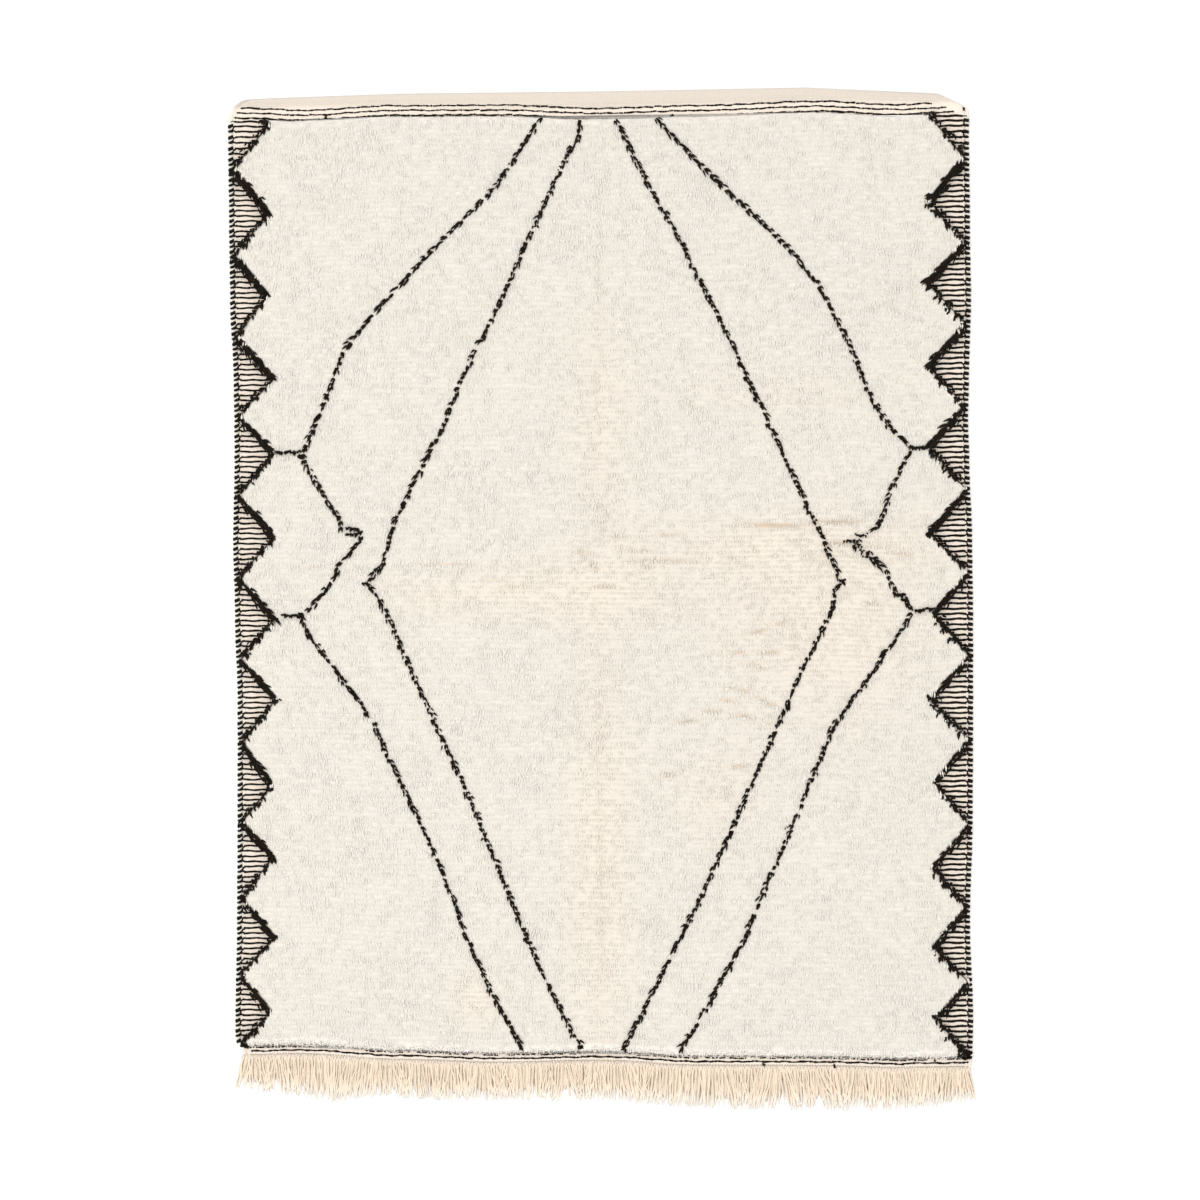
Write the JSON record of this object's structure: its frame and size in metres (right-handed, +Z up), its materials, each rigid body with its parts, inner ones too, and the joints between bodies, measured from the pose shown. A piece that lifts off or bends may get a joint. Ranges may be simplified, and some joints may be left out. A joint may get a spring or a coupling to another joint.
{
  "type": "beni ourain rug",
  "caption": "Flat hand-knotted wool rug: thick ivory pile with dark lozenge lines, zigzag flat-woven side borders, turned top edge and warp fringe.",
  "frame": {"origin": "on the floor, under the middle of the rug with its fringe", "axes": "+X across the rug, +Y along it towards the turned end, +Z up out of the pile"},
  "size_m": [1.55, 2.144, 0.0277],
  "materials": {
    "wool_pile": "matt",
    "warp_yarn": "matt"
  },
  "bodies": {
    "root": {"rug_body": "wool_pile", "fringe": "warp_yarn"}
  },
  "joints": []
}
